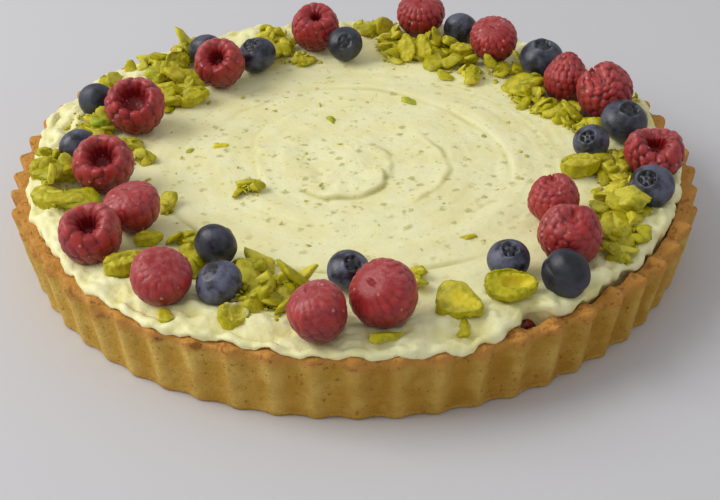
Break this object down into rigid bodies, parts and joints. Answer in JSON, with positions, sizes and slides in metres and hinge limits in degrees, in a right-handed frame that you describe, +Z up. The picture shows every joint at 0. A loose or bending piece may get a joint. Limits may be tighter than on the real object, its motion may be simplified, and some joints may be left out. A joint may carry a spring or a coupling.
{
  "type": "pistachio tart",
  "caption": "Round fluted shortcrust tart filled with pale green pistachio cream, ringed with raspberries, blueberries and chopped pistachios.",
  "frame": {"origin": "middle of the flat underside of the crust, on the surface the tart stands on", "axes": "+Z up, square to the underside; -Y towards the viewer of the picture, +X to the right"},
  "size_m": [0.2523, 0.2526, 0.0511],
  "materials": {
    "crust": "golden baked shortcrust, matt and finely pitted, darker orange-brown at the rim",
    "filling": "dark red, moist",
    "cream": "pale yellow-green cream with fine green flecks, soft satin",
    "raspberry": "pink-red drupelets with a dull bloom and fine hairs",
    "blueberry": "blue-black skin under a dusty grey bloom",
    "pistachio": "green to yellow-green nut, waxy cut faces"
  },
  "bodies": {
    "root": {"crust": "crust", "berry_filling": "filling", "cream": "cream", "raspberry_01": "raspberry", "raspberry_02": "raspberry", "raspberry_03": "raspberry", "raspberry_04": "raspberry", "raspberry_05": "raspberry", "raspberry_06": "raspberry", "raspberry_07": "raspberry", "raspberry_08": "raspberry", "raspberry_09": "raspberry", "raspberry_10": "raspberry", "raspberry_11": "raspberry", "raspberry_12": "raspberry", "raspberry_13": "raspberry", "raspberry_14": "raspberry", "raspberry_15": "raspberry", "raspberry_16": "raspberry", "blueberry_01": "blueberry", "blueberry_02": "blueberry", "blueberry_03": "blueberry", "blueberry_04": "blueberry", "blueberry_05": "blueberry", "blueberry_06": "blueberry", "blueberry_07": "blueberry", "blueberry_08": "blueberry", "blueberry_09": "blueberry", "blueberry_10": "blueberry", "blueberry_11": "blueberry", "blueberry_12": "blueberry", "blueberry_13": "blueberry", "blueberry_14": "blueberry", "blueberry_15": "blueberry", "pistachio_01": "pistachio", "pistachio_02": "pistachio", "pistachio_03": "pistachio", "pistachio_04": "pistachio", "pistachio_05": "pistachio", "pistachio_06": "pistachio", "pistachio_07": "pistachio", "pistachio_08": "pistachio", "pistachio_09": "pistachio", "pistachio_10": "pistachio", "pistachio_11": "pistachio", "pistachio_12": "pistachio", "pistachio_13": "pistachio", "pistachio_14": "pistachio"}
  },
  "joints": []
}
